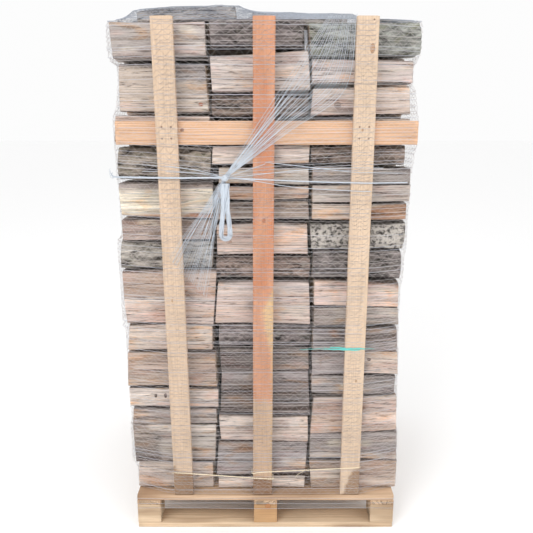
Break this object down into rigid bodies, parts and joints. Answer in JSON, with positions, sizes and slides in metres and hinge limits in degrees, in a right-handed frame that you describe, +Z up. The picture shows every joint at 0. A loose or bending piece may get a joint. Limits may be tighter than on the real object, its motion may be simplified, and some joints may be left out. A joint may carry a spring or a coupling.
{
  "type": "firewood bundle",
  "caption": "Split firewood stacked in side-by-side columns on a block pallet, held by wooden battens and rails and wrapped in a knotted net.",
  "frame": {"origin": "on the ground under the middle of the pallet", "axes": "+X to the right along the logs, +Z up, -Y towards the front, where the net is knotted"},
  "size_m": [1.066, 1.0325, 1.958],
  "materials": {
    "pallet_wood": "sawn pine, dry and a little stained",
    "batten_wood": "pale sawn pine with knots",
    "log_split": "split hardwood faces, grey where weathered, rough",
    "log_bark": "rough bark, ridged and lichened",
    "net_thread": "thin knitted white thread",
    "twine_fibre": "loose plant-fibre twine"
  },
  "bodies": {
    "root": {"pallet_bottom_board_front": "pallet_wood", "pallet_bottom_board_centre": "pallet_wood", "pallet_bottom_board_back": "pallet_wood", "pallet_block_front_left": "pallet_wood", "pallet_block_front_middle": "pallet_wood", "pallet_block_front_right": "pallet_wood", "pallet_block_centre_left": "pallet_wood", "pallet_block_centre_middle": "pallet_wood", "pallet_block_centre_right": "pallet_wood", "pallet_block_back_left": "pallet_wood", "pallet_block_back_middle": "pallet_wood", "pallet_block_back_right": "pallet_wood", "pallet_stringer_left": "pallet_wood", "pallet_stringer_middle": "pallet_wood", "pallet_stringer_right": "pallet_wood", "pallet_deck_board_1": "pallet_wood", "pallet_deck_board_2": "pallet_wood", "pallet_deck_board_3": "pallet_wood", "pallet_deck_board_4": "pallet_wood", "pallet_deck_board_5": "pallet_wood", "batten_front_left": "batten_wood", "batten_front_middle": "batten_wood", "batten_front_right": "batten_wood", "rail_front": "batten_wood", "batten_back_left": "batten_wood", "batten_back_middle": "batten_wood", "batten_back_right": "batten_wood", "rail_back": "batten_wood", "log_left_01": "log_split", "log_left_02": "log_bark", "log_left_05": "log_split", "log_left_07": "log_split", "log_left_10": "log_split", "log_left_11": "log_bark", "log_left_13": "log_split", "log_left_14": "log_split", "stack_left": "log_split", "log_middle_02": "log_split", "log_middle_03": "log_split", "log_middle_04": "log_bark", "log_middle_06": "log_bark", "log_middle_07": "log_split", "log_middle_08": "log_bark", "log_middle_09": "log_split", "log_middle_16": "log_split", "stack_middle": "log_split", "log_right_01": "log_split", "log_right_02": "log_split", "log_right_03": "log_split", "log_right_08": "log_split", "log_right_09": "log_bark", "log_right_10": "log_bark", "log_right_16": "log_split", "log_right_18": "log_bark", "stack_right": "log_split", "log_loose_top": "log_bark", "net_wrap": "net_thread", "net_knot": "net_thread", "net_loop": "net_thread", "bottom_twine": "twine_fibre"}
  },
  "joints": []
}
